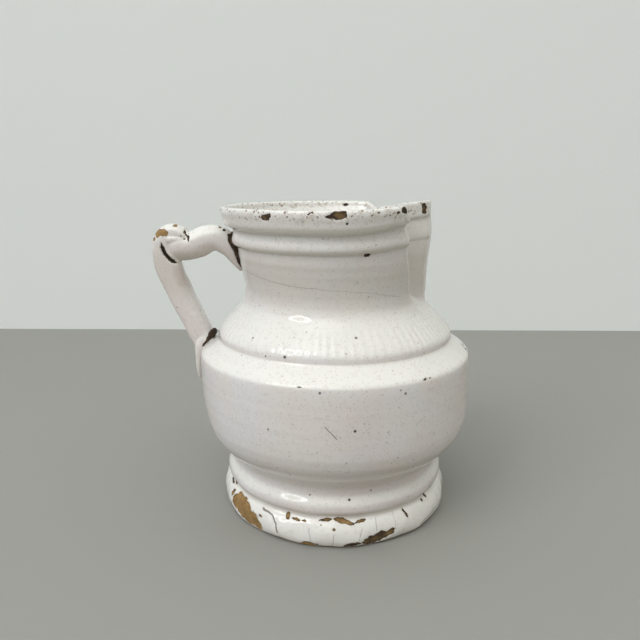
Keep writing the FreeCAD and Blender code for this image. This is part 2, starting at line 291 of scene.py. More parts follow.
# %% List of chips on the outside
chips = [
    (-30.2, 202.7, 4.3, 2.5, 0, 0.9, 0.64), (1.7, 202.9, 4.8, 2.7, 3, 1.0, 0.66),
    (-2.4, 202.0, 2.6, 1.1, 0, 0.5, 0.66), (31.6, 205.2, 2.7, 2.0, 0, 0.6, 0.66),
    (28.5, 203.6, 1.5, 0.8, 0, 0.4, 0.5), (79.0, 203.6, 2.4, 4.2, 0, 0.8, 0.62),
    (70.0, 205.6, 1.5, 0.6, 0, 0.3, 0.6), (16.8, 179.4, 2.4, 0.9, 0, 0.6, 0.9),
    (-49.5, 10.3, 13.5, 6.6, -17, 0.9, 0.10), (-41.0, 6.8, 7.0, 4.4, -20, 0.8, 0.14),
    (-56.0, 11.6, 5.6, 5.0, 0, 0.8, 0.12), (-62.5, 14.5, 2.0, 2.6, -30, 0.6, 0.4),
    (-36.8, 12.5, 1.8, 1.2, -18, 0.5, 0.35), (-22.8, 17.2, 1.5, 2.2, 20, 0.4, 0.3),
    (-18.0, 16.6, 2.6, 1.0, -8, 0.35, 0.25), (-14.2, 16.4, 1.5, 0.8, 0, 0.3, 0.3),
    (-3.5, 18.1, 4.2, 1.0, 8, 0.5, 0.35), (4.6, 17.1, 5.8, 1.5, -20, 0.5, 0.28),
    (12.8, 16.8, 3.2, 1.1, 10, 0.5, 0.3), (0.4, 13.6, 1.1, 1.0, 0, 0.4, 0.45),
    (36.4, 16.0, 0.9, 3.0, 14, 0.6, 0.5), (20.5, 5.6, 9.4, 3.5, 14, 0.8, 0.58),
    (25.5, 7.4, 4.2, 2.2, 10, 0.6, 0.5), (8.2, 2.9, 5.0, 2.2, 0, 0.8, 0.66),
    (-10.8, 1.9, 4.8, 2.4, 0, 2.2, 1.0), (-14.5, 0.9, 4.0, 1.6, 0, 1.4, 0.95),
    (52.8, 19.6, 0.9, 3.4, 30, 0.5, 0.5), (57.0, 22.0, 0.9, 2.8, 34, 0.5, 0.45),
    (49.0, 17.6, 1.2, 1.8, 15, 0.5, 0.4), (-26.0, 1.4, 3.6, 1.4, 0, 0.6, 0.6),
    (-70.0, 17.2, 4.4, 1.1, -6, 0.5, 0.6), (-66.0, 19.0, 2.4, 0.9, -18, 0.4, 0.5),
    (35.5, 109.3, 1.7, 0.7, 0, 0.3, 0.5), (37.5, 108.9, 1.2, 0.5, 0, 0.3, 0.55),
    (-12.5, 109.6, 1.6, 0.5, 0, 0.25, 0.45), (50.0, 2.0, 5.0, 1.5, 0, 0.6, 0.6),
    (84.0, 111.5, 3.6, 1.1, 0, 0.5, 0.55), (80.0, 110.2, 2.0, 0.8, 0, 0.4, 0.5),
]
for bearing in dice.uniform(95, 285, 9):
    wide = dice.uniform(2.0, 7.5)
    chips.append((bearing, dice.choice([3.0, 6.5, 16.8]), wide, wide * 0.38, dice.uniform(-20, 20), 0.7,
        dice.uniform(0.2, 0.9)))
for bearing in dice.uniform(88, 300, 5):
    wide = dice.uniform(1.0, 2.2)
    chips.append((bearing, 202.4, wide, wide * 0.55, 0, 0.5, dice.uniform(0.5, 0.8)))
for bearing in np.concatenate([dice.normal(-9, 5, 9), dice.normal(16, 9, 12), dice.uniform(-180, 180, 22)]):
    wide = dice.uniform(0.45, 0.95)
    chips.append((bearing, dice.uniform(201.2, 204.6), wide, wide * 0.6, 0, 0.2, dice.uniform(0.35, 0.7)))
print(len(chips), "chips")

# %% Distance into the chips, and pressing the wall in


def ripple(points, size, seed):
    """Slow pseudo-random field between -1 and 1 over points in mm."""
    rng = np.random.default_rng(seed)
    total = np.zeros(points.shape[:-1])
    for _ in range(7):
        way = rng.normal(size=3)
        way /= np.linalg.norm(way)
        total += np.sin(points @ way * (2 * math.pi / (size * rng.uniform(0.6, 1.5))) + rng.uniform(0,
            6.28))
    return total / 3.2


def surface_normals(grid):
    across = np.roll(grid, -1, 1) - np.roll(grid, 1, 1)
    up = np.gradient(grid, axis=0)
    n = np.cross(across, up)
    return n / np.maximum(np.linalg.norm(n, axis=2, keepdims=True), 1e-9)


def inside_chips(grid, normals, angle, damage, front_rows):
    """For every point: mm inside the nearest chip, that chip's age and its depth."""
    inside = np.full(grid.shape[:2], -6.0)
    age = np.zeros(grid.shape[:2])
    depth = np.zeros(grid.shape[:2])
    edge = ripple(grid, 7.0, 3) * 0.45 + ripple(grid, 2.9, 8) * 0.35
    rows = np.arange(len(grid))
    for bearing, z, wide, high, slant, deep, old in damage:
        aim = math.radians(bearing - 90)
        row, column = 0, int(np.argmin(np.abs(np.exp(1j * angle) - np.exp(1j * aim))))
        for _ in range(2):
            row = rows[np.argmin(np.abs(grid[:front_rows, column, 2] - z))]
            way = grid[row, :, 0] + 1j * grid[row, :, 1]
            column = int(np.argmin(np.abs(way / np.abs(way) - np.exp(1j * aim))))
        centre, n = grid[row, column], normals[row, column]
        u = np.cross([0, 0, 1.0], n)
        u /= np.linalg.norm(u)
        v = np.cross(n, u)
        offset = grid - centre
        c, s = math.cos(math.radians(slant)), math.sin(math.radians(slant))
        du, dv = offset @ u, offset @ v
        du, dv = c * du + s * dv, c * dv - s * du
        reach = np.sqrt((du / wide) ** 2 + (dv / high) ** 2 + (offset @ n / (wide + 3)) ** 2)
        small = min(wide, high)
        mm_inside = (1 - reach) * small + edge * min(small * 0.50, 1.3)
        nearer = mm_inside > inside
        inside = np.where(nearer, mm_inside, inside)
        age = np.where(nearer, old, age)
        depth = np.where(nearer, deep, depth)
    return inside, age, depth


# %% [markdown]
# ## The outside coat
# The visible wall is made as the coat it is on the real pitcher: a closed shell that runs up
# the outside, over the rim, and back down inside the thickness of the clay, where nobody
# sees it. Closed, it exports as a sound solid and it can't show a paper-thin edge.
# The rows are closest where the outline bends, so the crisp edges under the rim and round
# the shoulder stay crisp.

# %% From a grid of points to a mesh with its stored numbers


def finished_piece(name, mesh, numbers):
    """An object from a mesh that carries one number per point for each named effect."""
    for key, values in numbers.items():
        stored = mesh.attributes.new(key, "FLOAT", "POINT")
        stored.data.foreach_set("value", np.ascontiguousarray(values, np.float32).ravel())
    mesh.polygons.foreach_set("use_smooth", np.ones(len(mesh.polygons), bool))
    mesh.update()
    return add_object(name, mesh)


def add_object(name, data):
    made = bpy.data.objects.new(name, data)
    bpy.context.collection.objects.link(made)
    return made


def close_middle(mesh):
    """Welds a ring that has shrunk to a point, and turns every face outwards."""
    work = bmesh.new()
    work.from_mesh(mesh)
    middle = [v for v in work.verts if math.hypot(v.co.x, v.co.y) < 0.05 * MM]
    bmesh.ops.remove_doubles(work, verts=middle, dist=0.2 * MM)
    bmesh.ops.recalc_face_normals(work, faces=work.faces)
    work.to_mesh(mesh)
    work.free()


def mesh_from_grid(name, grid, numbers):
    """Closed skin of quads; rings that shrink to a point are welded there."""
    rows, columns = grid.shape[:2]
    points = grid.reshape(-1, 3) * MM
    r = np.arange(rows)[:, None]
    c = np.arange(columns)[None, :]
    r2, c2 = (r + 1) % rows, (c + 1) % columns
    quads = np.stack([r * columns + c, r * columns + c2, r2 * columns + c2, r2 * columns + c],
        2).reshape(-1, 4)
    mesh = bpy.data.meshes.new(name)
    mesh.from_pydata(points.tolist(), [], quads.tolist())
    made = finished_piece(name, mesh, numbers)
    close_middle(mesh)
    return made


def bend_of(grid):
    """Signed bend of the outline: above zero on edges that stick out, below in grooves."""
    n = surface_normals(grid)
    before, after = np.roll(grid, 1, 0), np.roll(grid, -1, 0)
    before[0], after[-1] = grid[0], grid[-1]
    middle = (before + after) / 2 - grid
    span = np.maximum(np.linalg.norm(after - before, axis=2), 0.3)
    return np.clip(-np.sum(middle * n, axis=2) / span ** 2 * 6, -1, 1)


# %% Outside coat: outer wall, lip and hidden back
OUTER_COLUMNS = 460


def part_of(line, low, high, count):
    """Even steps along the stretch of a profile between two heights."""
    return spread(line[(line[:, 1] >= low) & (line[:, 1] <= high)], count)


outer_rows = np.vstack([part_of(outside_line, 0, 24, 50), part_of(outside_line, 24.2, 165, 88),
    part_of(outside_line, 165.2, 202, 44)])
lip_rows = spread(lip_line, 12)[1:]
back_poles = [(67.9, 199.0), (66.0, 193.0), (63.6, 186.0), (61.4, 178.0), (59.0, 165.0), (57.4, 150.0),
              (59.5, 143.0), (68.0, 132.5), (75.8, 123.0), (76.0, 118.5), (82.0, 112.6), (88.0, 106.5),
              (88.8, 95.0), (88.6, 76.0), (87.0, 64.0), (79.0, 49.0), (70.8, 42.0), (69.4, 34.0),
              (71.5, 24.0), (71.4, 19.0), (74.6, 12.0), (74.8, 5.0), (74.6, 1.0)]
back_rows = np.array(back_poles)
line = np.vstack([outer_rows, lip_rows, back_rows])
outer_radius_at = lambda z: np.interp(z, outside_line[:, 1], outside_line[:, 0])
wall_inset = np.zeros(len(line))
wall_radius = line[:, 0].copy()
past = slice(len(outer_rows), len(line))
wall_radius[past] = outer_radius_at(np.minimum(line[past, 1], 202.0))
wall_inset[past] = wall_radius[past] - line[past, 0]
grid, angle = vessel_grid(np.stack([wall_radius, line[:, 1]], 1), OUTER_COLUMNS, wall_inset)
seen = len(outer_rows) + len(lip_rows)
normals = surface_normals(grid)
strokes = tool_marks(angle[None, :], line[:, 1][:, None])
strokes[seen:] = 0
grid = grid + normals * strokes[..., None]
bare, age, depth = inside_chips(grid, normals, angle, chips, seen)
bare[seen:] = -6
pressed = depth * smoothstep(bare, -0.15, 0.9)
pressed[seen:] = 0
grid = grid - normals * (pressed * (1 + 0.25 * ripple(grid, 2.2, 5)))[..., None]
coat = mesh_from_grid("outside_coat", grid, {"bare": bare, "age": age, "bend": bend_of(grid)})
print("outside coat", len(coat.data.polygons), "faces")

# %% [markdown]
# ## The inside coat
# Looking down past the lip, the glaze runs on inside the neck and over the floor. It is thrown
# smoother inside the neck and ringed on the floor, where the fingers opened the clay.
# It is the same kind of closed shell as the outside coat and meets it just under the lip.

# %% Inside coat
INNER_COLUMNS = 320
inner_rows = spread(inside_line, 112)
inner_back = np.array([(0.0, 5.0), (30.0, 5.0), (54.0, 5.4), (66.0, 9.0), (69.0, 18.0), (69.2, 31.0),
    (70.6, 41.5),
                       (76.6, 48.4), (85.0, 59.0), (88.0, 75.0), (88.2, 95.0), (87.0, 106.8), (80.4, 114.4),
                       (75.2, 119.5), (73.4, 124.8), (64.0, 135.5), (58.0, 143.5), (57.0, 150.0), (58.2,
                           163.0),
                       (60.2, 173.0), (61.8, 180.0), (64.6, 186.5), (67.8, 192.5), (70.6, 197.5), (71.4,
                           200.6)])
line = np.vstack([inner_rows, inner_back])
outer_at = outer_radius_at(np.clip(line[:, 1], 0, 202))
outer_at = np.where(line[:, 1] > 119, outer_at, line[:, 0])
grid, angle = vessel_grid(np.stack([outer_at, line[:, 1]], 1), INNER_COLUMNS, outer_at - line[:, 0])
floor_rings = 0.35 * np.sin(line[:, 0] * 2 * math.pi / 7.5) * smoothstep(30 - line[:, 1], 0, 18)
grid[: len(inner_rows), :, 2] += floor_rings[: len(inner_rows),
    None] * smoothstep(line[: len(inner_rows), 0], 4, 12)[:, None]
inner_normals = surface_normals(grid)
inside_damage = [(150.0, 203.0, 2.2, 1.2, 0, 0.4, 0.8), (-160.0, 202.0, 1.6, 1.0, 0, 0.4, 0.9),
    (40.0, 200.0, 1.4, 0.9, 0, 0.3, 0.9)]
bare, age, depth = inside_chips(grid, inner_normals, angle, inside_damage, len(inner_rows))
bare[len(inner_rows):] = -6
lining = mesh_from_grid("inside_coat", grid, {"bare": bare, "age": age, "bend": bend_of(grid)})
print("inside coat", len(lining.data.polygons), "faces")

# %% [markdown]
# ## The bare foot
# The standing face has no glaze, or it would have stuck to the kiln shelf. It is the flat
# face that a twisted wire left when the pot was cut from the wheel, with shell-shaped drag
# marks, worn shiny and grey-brown on its outer edge by two centuries of tables.

# %% Clay foot with the wire's drag marks
FOOT_COLUMNS = 320
foot_line = np.array([(0.0, 5.0), (30.0, 5.0), (60.0, 5.0), (72.0, 5.0), (75.2, 3.6), (76.2, 2.0),
    (76.5, 1.1), (76.2, 0.5), (75.4, 0.12)]
                     + [(r, 0.0) for r in np.linspace(74.6, 0.0, 62)])
grid, angle = vessel_grid(foot_line, FOOT_COLUMNS)
under = foot_line[:, 1] < 0.05
x, y = grid[..., 0], grid[..., 1]
drag = np.hypot(x + 118, y - 22)
wire = 0.22 * np.maximum(np.sin(drag * 2 * math.pi / 6.4 + 0.5 * ripple(grid, 30, 21)), -0.5) + 0.11
wire += 0.10 * (ripple(grid, 8, 22) + 1)
inset_share = smoothstep(74.4 - np.hypot(x, y), 0, 6)
grid[..., 2] += np.where(under[:, None], wire * inset_share, 0)
foot = mesh_from_grid("bare_foot", grid, {"bare": np.full(grid.shape[:2], 2.0),
    "age": np.full(grid.shape[:2], 0.35)})
print("bare foot lowest z in mm", round(float(grid[..., 2].min()), 3))

# %% [markdown]
# ## The handle
# One thick coil of clay was pressed on to the shoulder, drawn straight up and outwards, folded
# over on itself at the top, and brought back to the neck, where its end was pinched to a
# point. The fold and the two ends never quite closed, so crevices run along them.
# A bevelled curve can't make the fold, because the coil is thicker than the bend. So loose
# tubes are laid through each other, a voxel remesh fuses them into one skin as wet clay
# would, and the crevices are pressed in afterwards and coloured near-black clay as painted shade.

# %% Tubes of clay, squarish where the fingers flattened them


def tube(stations, around=40, square=2.0):
    """Closed tube through (x, y, z, half width in the handle's plane, half thickness across it)."""
    s = np.asarray(stations, float)
    centre, half = s[:, :3], s[:, 3:5]
    fine = np.linspace(0, len(s) - 1, (len(s) - 1) * 10 + 1)
    path = np.stack([catmull(centre[:, k], fine) for k in range(3)], 1)
    size = np.stack([catmull(half[:, k], fine) for k in range(2)], 1)
    tangent = np.gradient(path, axis=0)
    tangent /= np.linalg.norm(tangent, axis=1, keepdims=True)
    across = np.cross(tangent, [0.0, 1.0, 0.0])
    across /= np.linalg.norm(across, axis=1, keepdims=True)
    depthwise = np.cross(across, tangent)
    theta = np.linspace(0, 2 * math.pi, around, endpoint=False)
    cs, sn = np.cos(theta), np.sin(theta)
    p = 2.0 / square
    cs, sn = np.sign(cs) * np.abs(cs) ** p, np.sign(sn) * np.abs(sn) ** p
    rings = path[:, None, :] + across[:, None, :] * (size[:, 0, None] * cs)[..., None]
    rings = rings + depthwise[:, None, :] * (size[:, 1, None] * sn)[..., None]
    return rings


def catmull(values, at):
    """Smooth interpolation through the values, with no overshoot at the ends."""
    slope = np.gradient(values)
    i = np.clip(at.astype(int), 0, len(values) - 2)
    t = at - i
    h00, h10 = 2 * t ** 3 - 3 * t ** 2 + 1, t ** 3 - 2 * t ** 2 + t
    h01, h11 = -2 * t ** 3 + 3 * t ** 2, t ** 3 - t ** 2
    return h00 * values[i] + h10 * slope[i] + h01 * values[i + 1] + h11 * slope[i + 1]


def tube_faces(rings, offset):
    rows, around = rings.shape[:2]
    r, c = np.arange(rows - 1)[:, None], np.arange(around)[None, :]
    c2 = (c + 1) % around
    quads = np.stack([r * around + c, r * around + c2, (r + 1) * around + c2, (r + 1) * around + c],
        2) + offset
    first = [offset + k for k in range(around)]
    final = [offset + (rows - 1) * around + k for k in reversed(range(around))]
    return quads.reshape(-1, 4).tolist() + [list(reversed(first)), list(reversed(final))]


riser = [(-86.0, -5.0, 106.0, 6.6, 6.2), (-91.8, -5.0, 116.5, 7.2, 6.8), (-96.9, -4.6, 127.6, 7.3, 6.9),
         (-104.0, -3.6, 142.0, 7.6, 7.0), (-109.2, -2.6, 154.0, 8.2, 7.2), (-112.8, -1.8, 164.0, 8.9, 7.4),
         (-114.6, -1.2, 170.0, 8.4, 7.5), (-116.2, -0.8, 176.0, 6.9, 7.6), (-115.9, -0.5, 182.0, 6.2, 7.7)]
fold = [(-116.2, -0.8, 176.5, 6.6, 7.6), (-115.9, -0.5, 181.5, 6.2, 7.8), (-113.2, 0.0, 185.8, 6.0, 8.0),
        (-108.4, 0.0, 187.4, 5.6, 8.2), (-103.6, 0.0, 186.3, 4.6, 8.0), (-100.2, 0.0, 184.0, 3.4, 7.2)]
arm = [(-111.5, -0.6, 178.4, 4.6, 5.4), (-109.4, -0.6, 178.3, 7.6, 7.6), (-105.0, -0.6, 177.9, 9.6, 8.9),
       (-99.5, -0.4, 177.5, 9.2, 8.8), (-93.2, -0.2, 179.4, 9.6, 8.6), (-87.0, 0.0, 182.4, 9.4, 8.4),
       (-81.0, 0.0, 183.3, 8.7, 8.2), (-75.6, 0.0, 181.4, 8.4, 8.0), (-70.6, -0.4, 176.4, 6.8, 7.4),
       (-67.4, -0.8, 170.6, 4.8, 6.0), (-64.8, -1.2, 164.8, 2.8, 4.2), (-63.4, -1.4, 161.0, 1.2, 2.2)]
tail = [(-89.5, -6.5, 116.0, 5.0, 6.0), (-92.0, -7.2, 109.0, 4.6, 6.8), (-93.1, -7.6, 102.0, 3.0, 6.4),
        (-93.5, -8.0, 95.0, 2.3, 5.6), (-93.2, -8.2, 89.5, 1.6, 4.2), (-92.6, -8.3, 86.5, 0.8, 2.4)]
web = [(-113.0, -0.8, 182.6, 3.6, 7.2), (-108.5, -0.8, 182.8, 4.8, 8.0),
    (-103.5, -0.6, 182.2, 4.6, 8.0), (-99.8, -0.4, 180.8, 3.6, 7.4)]


def fused_skin(name, points_mm, faces, voxel):
    """One closed skin round the tubes, as wet clay would join."""
    mesh = bpy.data.meshes.new(name + "_raw")
    mesh.from_pydata((np.array(points_mm) * MM).tolist(), [], faces)
    raw = add_object(name + "_raw", mesh)
    step = raw.modifiers.new("fuse", "REMESH")
    step.mode = "VOXEL"
    step.voxel_size = voxel * MM
    skin = bpy.data.meshes.new_from_object(raw.evaluated_get(bpy.context.evaluated_depsgraph_get()))
    bpy.data.objects.remove(raw)
    skin.name = name
    return skin


def read_vectors(mesh, key):
    values = np.empty(len(mesh.vertices) * 3)
    mesh.vertices.foreach_get(key, values)
    return values.reshape(-1, 3)


def move_points(mesh, co):
    mesh.vertices.foreach_set("co", (co * MM).ravel())
    mesh.update()


points, faces = [], []
for stations, square in ((riser, 3.4), (fold, 2.4), (arm, 2.1), (tail, 2.3), (web, 2.2)):
    rings = tube(stations, square=square)
    faces += tube_faces(rings, len(points))
    points += rings.reshape(-1, 3).tolist()
fused = fused_skin("folded_handle", points, faces, 0.55)
print("fused coil", len(fused.vertices), "points")

# %% Softening the joins like wet clay, then pressing in the crevices


def soften(mesh, co, rounds):
    """Moves each point part of the way to the middle of its neighbours."""
    edges = np.empty(len(mesh.edges) * 2, np.int64)
    mesh.edges.foreach_get("vertices", edges)
    edges = edges.reshape(-1, 2)
    count = np.bincount(edges.ravel(), minlength=len(co))[:, None]
    for turn_number in range(rounds):
        total = np.zeros_like(co)
        np.add.at(total, edges[:, 0], co[edges[:, 1]])
        np.add.at(total, edges[:, 1], co[edges[:, 0]])
        pull = 0.5 if turn_number % 2 == 0 else -0.51
        co = co + pull * (total / count - co)
    return co


def along_line(points_xyz, route, flat=True):
    """Distance in mm from a route given as (x, z) or (x, y, z), and how far along it from 0 to 1."""
    route = np.asarray(route, float)
    p = points_xyz[:, [0, 2]] if flat else points_xyz
    best = np.full(len(p), 1e9)
    share = np.zeros(len(p))
    lengths = np.linalg.norm(np.diff(route, axis=0), axis=1)
    ends = np.concatenate([[0], np.cumsum(lengths)])
    for i in range(len(route) - 1):
        a, d = route[i], route[i + 1] - route[i]
        t = np.clip(((p - a) @ d) / (d @ d), 0, 1)
        gap = np.linalg.norm(p - (a + t[:, None] * d), axis=1)
        near = gap < best
        best = np.where(near, gap, best)
        share = np.where(near, (ends[i] + t * lengths[i]) / ends[-1], share)
    return best, share


co = read_vectors(fused, "co") / MM
rod_line = np.array([(-88.0, 104.0), (-96.9, 127.6), (-104.0, 142.0), (-109.6, 155.0), (-113.0, 165.0)])
rod_x = np.interp(co[:, 2], rod_line[:, 1], rod_line[:, 0])
inner_side = (co[:, 0] - rod_x) * 0.92
on_rod = smoothstep(co[:, 2], 112, 122) * (1 - smoothstep(co[:, 2], 150, 166))
co[:, 1] += np.where(co[:, 1] < 0, 1.0, 0.0) * on_rod * np.clip(inner_side - 2.2, 0, 6) * 0.85
co = soften(fused, co, 18)
move_points(fused, co)
out = read_vectors(fused, "normal")
co = co + out * (0.16 * ripple(co, 16, 31) + 0.07 * ripple(co, 6, 32))[:, None]

fold_crevice = [(-115.4, 181.0), (-115.0, 177.5), (-113.2, 173.2), (-109.8, 169.6), (-105.2, 167.2)]
neck_crevice = [(-71.2, 186.2), (-69.2, 181.5), (-66.2, 176.0), (-64.4, 170.0), (-63.0, 164.0)]
top_crack = [(-100.6, 189.5), (-99.0, 186.4), (-97.4, 184.0), (-96.8, 181.0)]
# Painted shade: the fold and neck crevices are stored as bare and take near-black clay colour; the top
# crack is a real crack.
crevice_shade_and_crack = np.full(len(co), -6.0)
press = np.zeros(len(co))
front = smoothstep(np.abs(co[:, 1]), 1.5, 5.0)
for route, width, deep in ((fold_crevice, 1.25, 2.6), (neck_crevice, 1.1, 1.4), (top_crack, 0.45, 0.8)):
    gap, share = along_line(co, route)
    taper = np.minimum(smoothstep(share, 0.0, 0.22), 1 - smoothstep(share, 0.84, 1.0)) * 0.85 + 0.15
    mm_inside = width * taper - gap + 0.18 * ripple(co, 2.6, 33)
    if route is not top_crack:
        mm_inside = mm_inside - (1 - front) * 4
    crevice_shade_and_crack = np.maximum(crevice_shade_and_crack, mm_inside)
    press = np.maximum(press, deep * taper * smoothstep(mm_inside, -0.6, 0.8))
handle_chips = [
    ((-117.0, -6.0, 187.0), 3.6, 0.10), ((-113.4, -6.5, 187.6), 3.2, 0.08), ((-120.6, -5.0, 182.6), 2.0,
        0.10),
    ((-105.6, -5.0, 192.2), 2.0, 0.15), ((-99.0, -6.0, 187.6), 1.6, 0.35), ((-101.8, -6.4, 185.6), 1.2,
        0.35),
    ((-97.2, -7.0, 184.6), 1.0, 0.6), ((-100.4, -7.4, 183.0), 0.9, 0.75), ((-73.2, -4.5, 189.4), 1.6, 0.9),
    ((-76.5, -3.0, 191.2), 1.4, 0.35), ((-110.0, 7.6, 188.0), 3.0, 0.2), ((-118.5, 6.0, 176.0), 2.2, 0.5),
    ((-103.0, 6.5, 140.0), 1.6, 0.4), ((-84.0, 8.0, 186.0), 1.8, 0.5),
]
worn = np.full(len(co), -6.0)
# The default age 0.95 makes the crevices near-black, which is painted shade; the handle chips keep their
# own ages.
chip_age_and_crevice_shade = np.full(len(co), 0.95)
for middle, wide, old in handle_chips:
    offset = co - np.array(middle)
    reach = np.linalg.norm(offset * [1.0, 0.75, 1.25], axis=1)
    mm_inside = wide - reach + 0.6 * ripple(co, 3.2, 34)
    chip_age_and_crevice_shade = np.where(mm_inside > np.maximum(worn, crevice_shade_and_crack), old, chip_age_and_crevice_shade)
    worn = np.maximum(worn, mm_inside)
press = np.maximum(press, 0.5 * smoothstep(worn, -0.1, 0.7))
co = co - out * press[:, None]
move_points(fused, co)
# bare holds both the chips and the painted crevice shade.
stored = {"bare": np.maximum(crevice_shade_and_crack, worn), "age": chip_age_and_crevice_shade, "bend": np.zeros(len(co))}
handle = finished_piece("folded_handle", fused, stored)
print("handle box in mm", np.round(co.min(0), 1).tolist(), np.round(co.max(0), 1).tolist())

# %% [markdown]
# ## Slip in the joints
# Where the coil meets the body, the potter smeared slip, which is clay stirred to a cream. The glaze
# didn't reach into these corners, so the slip is bare and dark. Each joint is a lumpy
# bead laid along the corner, fused and roughened the same way as the handle.

# %% Beads of slip


def slip_bead(name, route, seed):
    rings = tube(route, around=20, square=2.0)
    solid = fused_skin(name, rings.reshape(-1, 3), tube_faces(rings, 0), 0.4)
    here = soften(solid, read_vectors(solid, "co") / MM, 6)
    move_points(solid, here)
    lumps = 0.28 * ripple(here, 3.0, seed) + 0.15 * ripple(here, 1.4, seed + 1)
    move_points(solid, here + read_vectors(solid, "normal") * lumps[:, None])
    bare_and_old = {"bare": np.full(len(here), 2.0), "age": np.full(len(here), 1.0)}
    return finished_piece(name, solid, bare_and_old)


lower_slip = slip_bead("lower_slip", [(-83.4, -1.0, 119.6, 1.4, 4.5), (-85.6, -3.5, 116.6, 2.6, 7.0),
    (-89.0, -5.0, 112.6, 2.2, 8.2),
                                      (-92.0, -6.0, 108.4, 1.5, 8.0), (-93.4, -7.0, 103.0, 0.9, 6.4)], 51)
upper_slip = slip_bead("upper_slip", [(-70.6, 0.0, 186.6, 1.8, 7.0), (-68.2, 0.0, 181.0, 2.2, 8.0),
    (-65.6, -0.4, 175.0, 2.0, 7.6),
                                      (-63.6, -0.8, 168.5, 1.6, 5.8), (-62.6, -1.0, 163.2, 0.9, 3.4)], 61)
print("slip beads", len(lower_slip.data.vertices), len(upper_slip.data.vertices))

# %% [markdown]
# ## Shared effects
# Several finishes need the same effects: pinholes, crazing, and the ragged line where the glaze
# has broken away. Each is a small node group with named inputs, built once. A group gives out
# only masks, colours and heights, and every material keeps its own Principled shader.
# A small class keeps the wiring short, so that a cell reads like the recipe it is.

# %% A short way to write node trees


class Nodes:
    """Adds nodes to one tree. A value is a number, a colour or another node's output."""

    def __init__(self, tree):
        self.tree = tree

    def plug(self, value, target):
        if isinstance(value, bpy.types.NodeSocket):
            self.tree.links.new(value, target)
        elif value is not None:
            target.default_value = value

    def node(self, kind, **settings):
        made = self.tree.nodes.new("ShaderNode" + kind)
        for setting, value in settings.items():
            setattr(made, setting, value)
        return made

    def fill(self, node, sockets, values):
        for socket, value in zip(sockets, values):
            self.plug(value, node.inputs[socket])
        return node.outputs

    def math(self, operation, *values, clamp=False):
        return self.fill(self.node("Math", operation=operation, use_clamp=clamp), (0, 1, 2), values)[0]

    def times(self, first, *others):
        for other in others:
            first = self.math("MULTIPLY", first, other)
        return first

    def ramp(self, value, low, high, to_low=0.0, to_high=1.0):
        node = self.node("MapRange", interpolation_type="SMOOTHSTEP")
        return self.fill(node, range(5), (value, low, high, to_low, to_high))[0]

    def noise(self, vector, scale, detail=3.0, roughness=0.55):
        sockets = ("Vector", "Scale", "Detail", "Roughness")
        return self.fill(self.node("TexNoise"), sockets, (vector, scale, detail, roughness))

    def cells(self, vector, scale, feature="F1"):
        return self.fill(self.node("TexVoronoi", feature=feature), ("Vector", "Scale"), (vector, scale))

    def mix(self, share, a, b):
        return self.fill(self.node("Mix", data_type="RGBA"), (0, 6, 7), (share, a, b))[2]

    def vector(self, operation, a, b=None, c=None, scale=None):
        outputs = self.fill(self.node("VectorMath", operation=operation), range(4), (a, b, c, scale))
        return outputs["Value" if operation in ("DOT_PRODUCT", "LENGTH") else "Vector"]

    def split(self, vector, kind="SeparateXYZ"):
        return self.fill(self.node(kind), (0,), (vector,))

    def join(self, x, y):
        return self.fill(self.node("CombineXYZ"), (0, 1), (x, y))[0]

    def place(self, group, **values):
        return self.fill(self.node("Group", node_tree=group), values.keys(), values.values())


FLOAT, VECTOR, COLOUR = "NodeSocketFloat", "NodeSocketVector", "NodeSocketColor"


def new_group(name, inputs, outputs):
    """An empty group, a writer for its nodes, its inputs and its outputs."""
    group = bpy.data.node_groups.new(name, "ShaderNodeTree")
    for label, kind, default in inputs:
        made = group.interface.new_socket(label, in_out="INPUT", socket_type=kind)
        if default is not None:
            made.default_value = default
    for label, kind in outputs:
        group.interface.new_socket(label, in_out="OUTPUT", socket_type=kind)
    print("group", name)
    ins, outs = group.nodes.new("NodeGroupInput").outputs, group.nodes.new("NodeGroupOutput").inputs
    return group, Nodes(group), ins, outs


# %% [markdown]
# ### Pinholes
# Gas leaving the clay bursts through the glaze and leaves tiny craters, most of them
# with a dark speck of iron at the bottom. Cells of random size work: only some
# of the cells get a dot, and the dot's own size is random as well.

# %% Pinholes group
inputs = [("Position", VECTOR, None), ("Cells", FLOAT, 500.0), ("Share", FLOAT, 0.06), ("Size", FLOAT, 0.3)]
pinholes, n, gi, go = new_group("pinholes", inputs, [("Mask", FLOAT), ("Tone", FLOAT)])
out_of_round = n.noise(gi["Position"], 900.0, 1.0)["Color"]
dots = n.cells(n.vector("MULTIPLY_ADD", out_of_round, (0.4 * MM,) * 3, gi["Position"]), gi["Cells"])
pick = n.split(dots["Color"], "SeparateColor")
crowd = n.noise(gi["Position"], 38.0, 2.0)["Fac"]
chosen = n.math("LESS_THAN", pick[0], n.times(gi["Share"], n.times(crowd, 2.0)))
radius = n.times(gi["Size"], n.math("MULTIPLY_ADD", pick[1], 0.8, 0.35))
round_dot = n.ramp(dots["Distance"], n.times(radius, 0.6), radius, 1.0, 0.0)
n.plug(n.times(round_dot, chosen), go["Mask"])
n.plug(pick[2], go["Tone"])

# %% [markdown]
# ### Crazing
# Glaze shrinks a little more than clay as both cool, and over the years it relieves the strain in a
# net of hairline cracks. The lines between the cells of a Voronoi pattern make the net, bent
# by noise so that the cells aren't too regular, and broken up so that only some show dirt.

